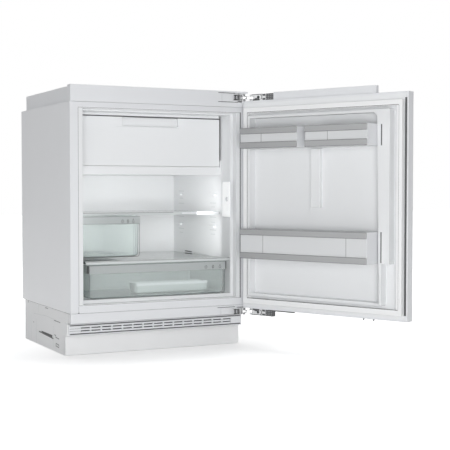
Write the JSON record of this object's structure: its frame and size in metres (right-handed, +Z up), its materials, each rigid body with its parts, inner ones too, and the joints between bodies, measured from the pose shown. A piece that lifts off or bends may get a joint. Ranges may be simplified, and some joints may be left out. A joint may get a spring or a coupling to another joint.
{
  "type": "undercounter fridge",
  "caption": "White built-under fridge with an open right-hinged door, freezer flap, glass shelf, storage box, crisper drawer and door racks.",
  "frame": {"origin": "on the floor under the middle of the cabinet", "axes": "+Z up, the door opening faces -Y, +X towards the hinge side"},
  "size_m": [0.8418, 1.0681, 0.819],
  "materials": {
    "white_steel": "white powder coat",
    "galvanised": "zinc coated sheet",
    "white_plastic": "satin white",
    "base_plastic": "light grey moulded",
    "liner": "white vacuum formed sheet",
    "foam": "rigid foam",
    "seal": "soft white",
    "rack_plastic": "translucent white",
    "rail_metal": "satin grey",
    "glass": "clear float glass",
    "clear_plastic": "clear tinted",
    "handle_plastic": "translucent grey",
    "tray_plastic": "pale",
    "dark_plastic": "black",
    "hinge_steel": "bright zinc",
    "lamp_cover": "opal",
    "dial_plastic": "white",
    "black_enamel": "satin black",
    "copper": "drawn tube",
    "grommet_rubber": "matt black",
    "foot_plastic": "dark grey"
  },
  "bodies": {
    "cabinet": {"outer_shell": "white_steel", "back_panel": "galvanised", "bottom_panel": "galvanised", "top_cover": "white_plastic", "bottom_apron": "white_plastic", "vent_grille": "white_plastic", "plinth_panel": "white_plastic", "freezer_box": "white_plastic", "light_housing": "white_plastic", "crisper_cover_trim": "white_plastic", "base_tray": "base_plastic", "inner_liner": "liner", "insulation_foam": "foam", "crisper_cover": "glass", "compressor_relay": "dark_plastic", "control_box": "dark_plastic", "power_inlet": "dark_plastic", "fan_housing": "dark_plastic", "drip_tray": "dark_plastic", "hinge_brackets": "hinge_steel", "hinge_cabinet_pins": "hinge_steel", "flap_pins": "hinge_steel", "light_diffuser": "lamp_cover", "compressor": "black_enamel", "condenser_coil": "black_enamel", "filter_drier": "copper", "compressor_grommets": "grommet_rubber"},
    "hinge_link": {"hinge_links": "hinge_steel"},
    "door": {"door_outer_skin": "white_steel", "door_foam": "foam", "door_inner_panel": "liner", "door_gasket": "seal", "furniture_rail": "white_steel", "hinge_leaves": "hinge_steel", "hinge_door_pins": "hinge_steel", "hinge_caps": "dark_plastic"},
    "upper_hinge_rack": {"upper_hinge_rack": "rack_plastic", "upper_hinge_rack_rails": "rail_metal"},
    "upper_latch_rack": {"upper_latch_rack": "rack_plastic", "upper_latch_rack_rails": "rail_metal"},
    "lower_rack": {"lower_rack": "rack_plastic", "lower_rack_rails": "rail_metal", "lower_rack_dividers": "rack_plastic"},
    "freezer_flap": {"freezer_flap": "white_plastic", "flap_seal": "seal"},
    "glass_shelf": {"glass_shelf": "glass", "shelf_trim": "white_plastic", "box_runners": "white_plastic"},
    "storage_box": {"storage_box": "clear_plastic", "storage_box_handle": "handle_plastic"},
    "crisper": {"crisper_drawer": "clear_plastic", "crisper_handle": "handle_plastic", "crisper_clips": "dark_plastic", "crisper_tray": "tray_plastic"},
    "temperature_dial": {"temperature_dial": "dial_plastic"},
    "fan": {"fan_rotor": "dark_plastic"},
    "front_left_foot": {"front_left_foot": "foot_plastic"},
    "front_right_foot": {"front_right_foot": "foot_plastic"},
    "back_left_foot": {"back_left_foot": "foot_plastic"},
    "back_right_foot": {"back_right_foot": "foot_plastic"}
  },
  "joints": [
    {"name": "link_swing", "type": "hinge", "parent": "cabinet", "child": "hinge_link", "pos_m": [0.28, -0.2645, 0], "axis": [0, 0, 1], "range_deg": [-58, 2]},
    {"name": "door_swing", "type": "hinge", "parent": "hinge_link", "child": "door", "pos_m": [0.3018, -0.27866, 0], "axis": [0, 0, 1], "range_deg": [-57, 1]},
    {"name": "upper_hinge_rack_lift", "type": "slide", "parent": "door", "child": "upper_hinge_rack", "axis": [0, 0, 1], "range_m": [0, 0.02]},
    {"name": "upper_latch_rack_lift", "type": "slide", "parent": "door", "child": "upper_latch_rack", "axis": [0, 0, 1], "range_m": [0, 0.02]},
    {"name": "lower_rack_lift", "type": "slide", "parent": "door", "child": "lower_rack", "axis": [0, 0, 1], "range_m": [0, 0.02]},
    {"name": "flap_drop", "type": "hinge", "parent": "cabinet", "child": "freezer_flap", "pos_m": [0, -0.1545, 0.591], "axis": [1, 0, 0], "range_deg": [0, 90]},
    {"name": "shelf_slide", "type": "slide", "parent": "cabinet", "child": "glass_shelf", "axis": [0, -1, 0], "range_m": [0, 0.15]},
    {"name": "storage_box_slide", "type": "slide", "parent": "glass_shelf", "child": "storage_box", "axis": [0, -1, 0], "range_m": [0, 0.15]},
    {"name": "crisper_slide", "type": "slide", "parent": "cabinet", "child": "crisper", "axis": [0, -1, 0], "range_m": [0, 0.095]},
    {"name": "dial_turn", "type": "hinge", "parent": "cabinet", "child": "temperature_dial", "pos_m": [0.242, -0.2185, 0.4745], "axis": [-1, 0, 0], "range_deg": [0, 270]},
    {"name": "fan_spin", "type": "hinge", "parent": "cabinet", "child": "fan", "pos_m": [-0.06, 0.1025, 0.058], "axis": [0, 1, 0], "continuous": true},
    {"name": "front_left_foot_screw", "type": "slide", "parent": "cabinet", "child": "front_left_foot", "axis": [0, 0, -1], "range_m": [0, 0.04]},
    {"name": "front_right_foot_screw", "type": "slide", "parent": "cabinet", "child": "front_right_foot", "axis": [0, 0, -1], "range_m": [0, 0.04]},
    {"name": "back_left_foot_screw", "type": "slide", "parent": "cabinet", "child": "back_left_foot", "axis": [0, 0, -1], "range_m": [0, 0.04]},
    {"name": "back_right_foot_screw", "type": "slide", "parent": "cabinet", "child": "back_right_foot", "axis": [0, 0, -1], "range_m": [0, 0.04]}
  ],
  "couplings": [
    {"joint": "link_swing", "follows": "door_swing", "ratio": 1}
  ]
}
